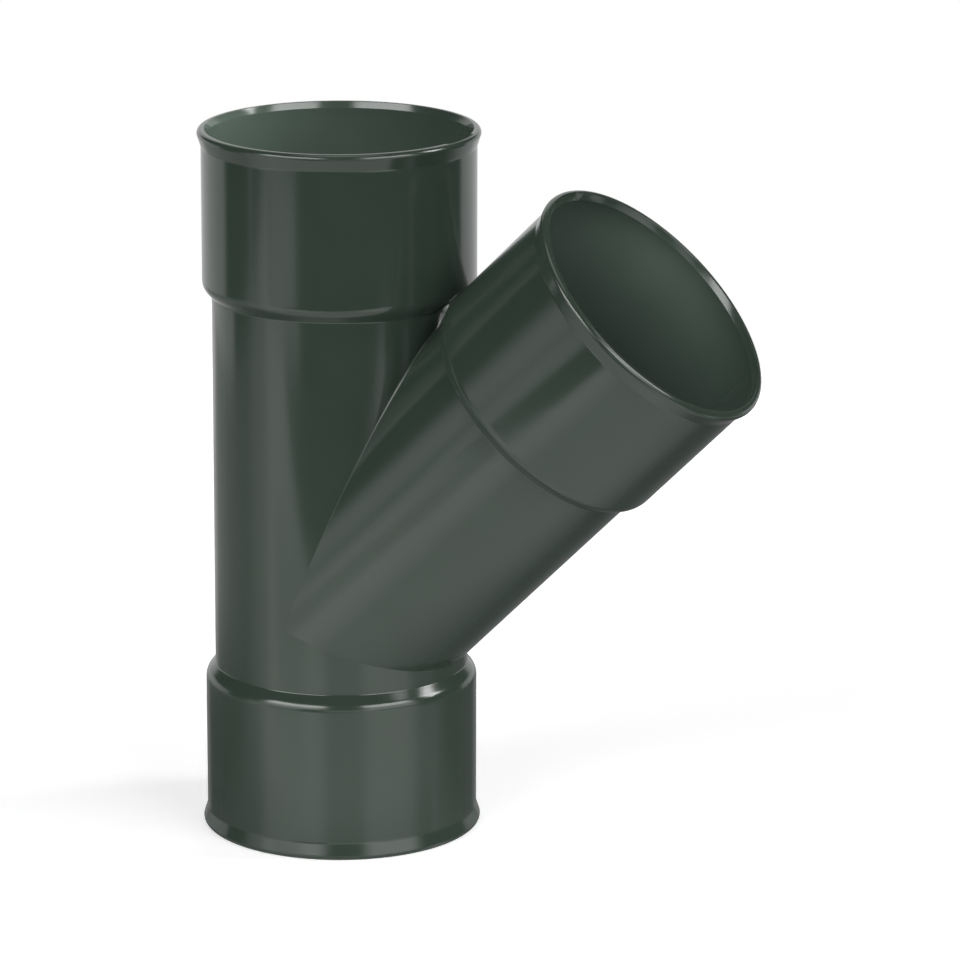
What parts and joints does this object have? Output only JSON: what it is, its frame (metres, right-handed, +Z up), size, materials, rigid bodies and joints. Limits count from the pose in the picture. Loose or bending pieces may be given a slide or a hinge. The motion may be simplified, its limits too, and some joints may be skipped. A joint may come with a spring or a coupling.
{
  "type": "lateral wye pipe fitting",
  "caption": "Straight pipe body with an equal side branch at 45 degrees and push-on sockets at every end, joining rainwater downpipes.",
  "frame": {"origin": "on the axis of the straight run, in the plane of the lower rim that the fitting stands on", "axes": "+Z up the straight run, +X towards the side that the branch leans to, +Y across the plane that holds both axes"},
  "size_m": [0.1781, 0.0864, 0.22],
  "materials": {
    "moulded_pvc": "smooth, glossy, dark green-grey"
  },
  "bodies": {
    "root": {"wye_fitting": "moulded_pvc"}
  },
  "joints": []
}
